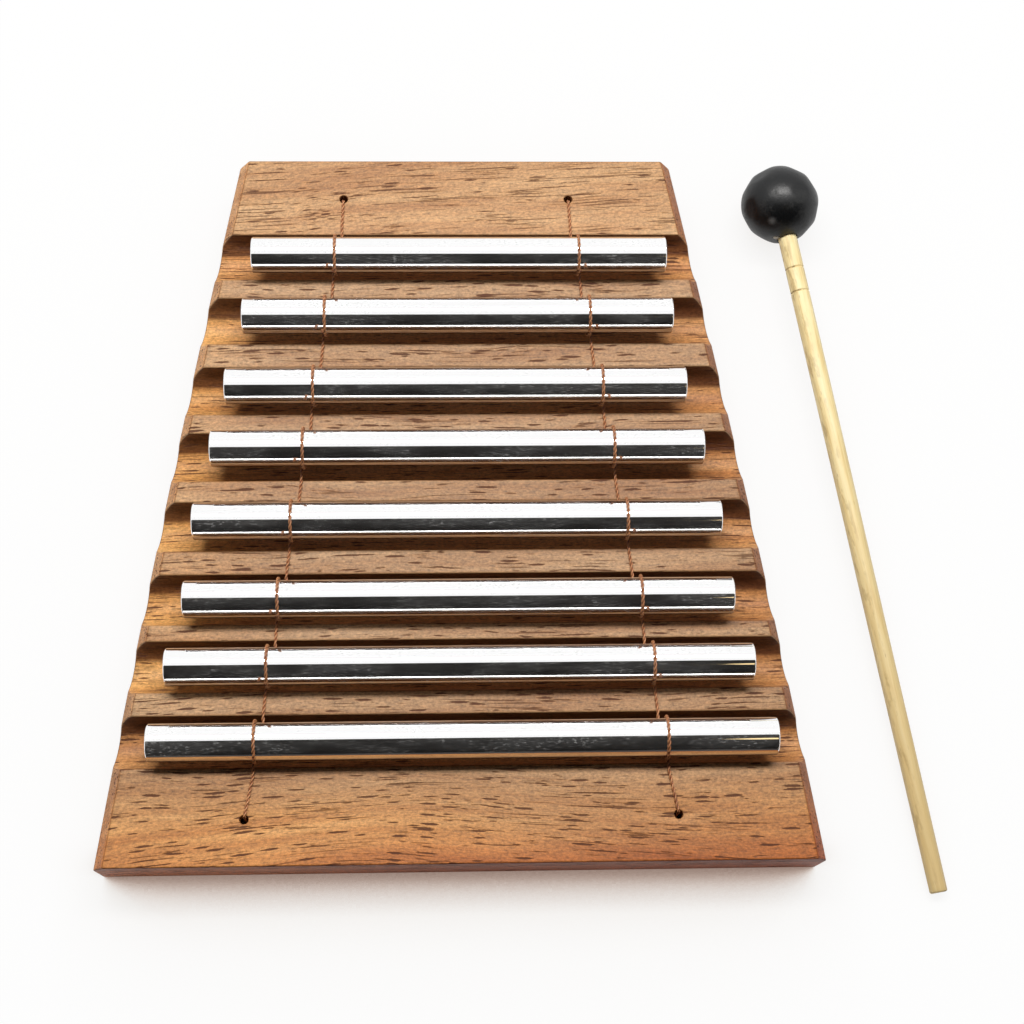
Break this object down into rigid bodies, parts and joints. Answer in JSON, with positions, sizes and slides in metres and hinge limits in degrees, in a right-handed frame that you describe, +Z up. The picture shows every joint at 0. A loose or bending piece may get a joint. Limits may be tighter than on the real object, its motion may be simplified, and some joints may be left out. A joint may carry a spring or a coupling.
{
  "type": "chime bar",
  "caption": "Tabletop chime: polished metal bars slung on two cords over the grooves of a tapered wooden board, with a rubber-headed mallet lying beside it.",
  "frame": {"origin": "middle of the board's underside, on the surface it stands on", "axes": "+Z up, +Y from the player towards the narrow end with the short bars, +X to the player's right, towards the mallet"},
  "size_m": [0.2267, 0.2106, 0.0316],
  "materials": {
    "board_wood": "oiled reddish-brown hardwood, satin, grain across the board",
    "bar_metal": "mirror polished",
    "cord": "thin two-ply twisted cord, reddish copper brown",
    "mallet_rubber": "satin black, lightly scuffed",
    "mallet_stick": "bare pale split cane, sanded smooth"
  },
  "bodies": {
    "board": {"board": "board_wood", "cord_left": "cord", "cord_right": "cord"},
    "bar_1": {"bar_1": "bar_metal"},
    "bar_2": {"bar_2": "bar_metal"},
    "bar_3": {"bar_3": "bar_metal"},
    "bar_4": {"bar_4": "bar_metal"},
    "bar_5": {"bar_5": "bar_metal"},
    "bar_6": {"bar_6": "bar_metal"},
    "bar_7": {"bar_7": "bar_metal"},
    "bar_8": {"bar_8": "bar_metal"},
    "mallet": {"mallet_head": "mallet_rubber", "mallet_stick": "mallet_stick"}
  },
  "joints": [
    {"name": "bar_1_bounce", "type": "slide", "parent": "board", "child": "bar_1", "axis": [0, 0, 1], "range_m": [-0.001, 0.001], "stiffness_N_per_m": 600, "springref_m": 0.0004, "deforming": ["cord_left", "cord_right"]},
    {"name": "bar_2_bounce", "type": "slide", "parent": "board", "child": "bar_2", "axis": [0, 0, 1], "range_m": [-0.001, 0.001], "stiffness_N_per_m": 600, "springref_m": 0.00042, "deforming": ["cord_left", "cord_right"]},
    {"name": "bar_3_bounce", "type": "slide", "parent": "board", "child": "bar_3", "axis": [0, 0, 1], "range_m": [-0.001, 0.001], "stiffness_N_per_m": 600, "springref_m": 0.00044, "deforming": ["cord_left", "cord_right"]},
    {"name": "bar_4_bounce", "type": "slide", "parent": "board", "child": "bar_4", "axis": [0, 0, 1], "range_m": [-0.001, 0.001], "stiffness_N_per_m": 600, "springref_m": 0.00047, "deforming": ["cord_left", "cord_right"]},
    {"name": "bar_5_bounce", "type": "slide", "parent": "board", "child": "bar_5", "axis": [0, 0, 1], "range_m": [-0.001, 0.001], "stiffness_N_per_m": 600, "springref_m": 0.00049, "deforming": ["cord_left", "cord_right"]},
    {"name": "bar_6_bounce", "type": "slide", "parent": "board", "child": "bar_6", "axis": [0, 0, 1], "range_m": [-0.001, 0.001], "stiffness_N_per_m": 600, "springref_m": 0.00051, "deforming": ["cord_left", "cord_right"]},
    {"name": "bar_7_bounce", "type": "slide", "parent": "board", "child": "bar_7", "axis": [0, 0, 1], "range_m": [-0.001, 0.001], "stiffness_N_per_m": 600, "springref_m": 0.00054, "deforming": ["cord_left", "cord_right"]},
    {"name": "bar_8_bounce", "type": "slide", "parent": "board", "child": "bar_8", "axis": [0, 0, 1], "range_m": [-0.001, 0.001], "stiffness_N_per_m": 600, "springref_m": 0.00057, "deforming": ["cord_left", "cord_right"]},
    {"name": "mallet_lift", "type": "slide", "parent": "board", "child": "mallet", "axis": [0, 0, 1], "range_m": [0, 0.12]}
  ]
}
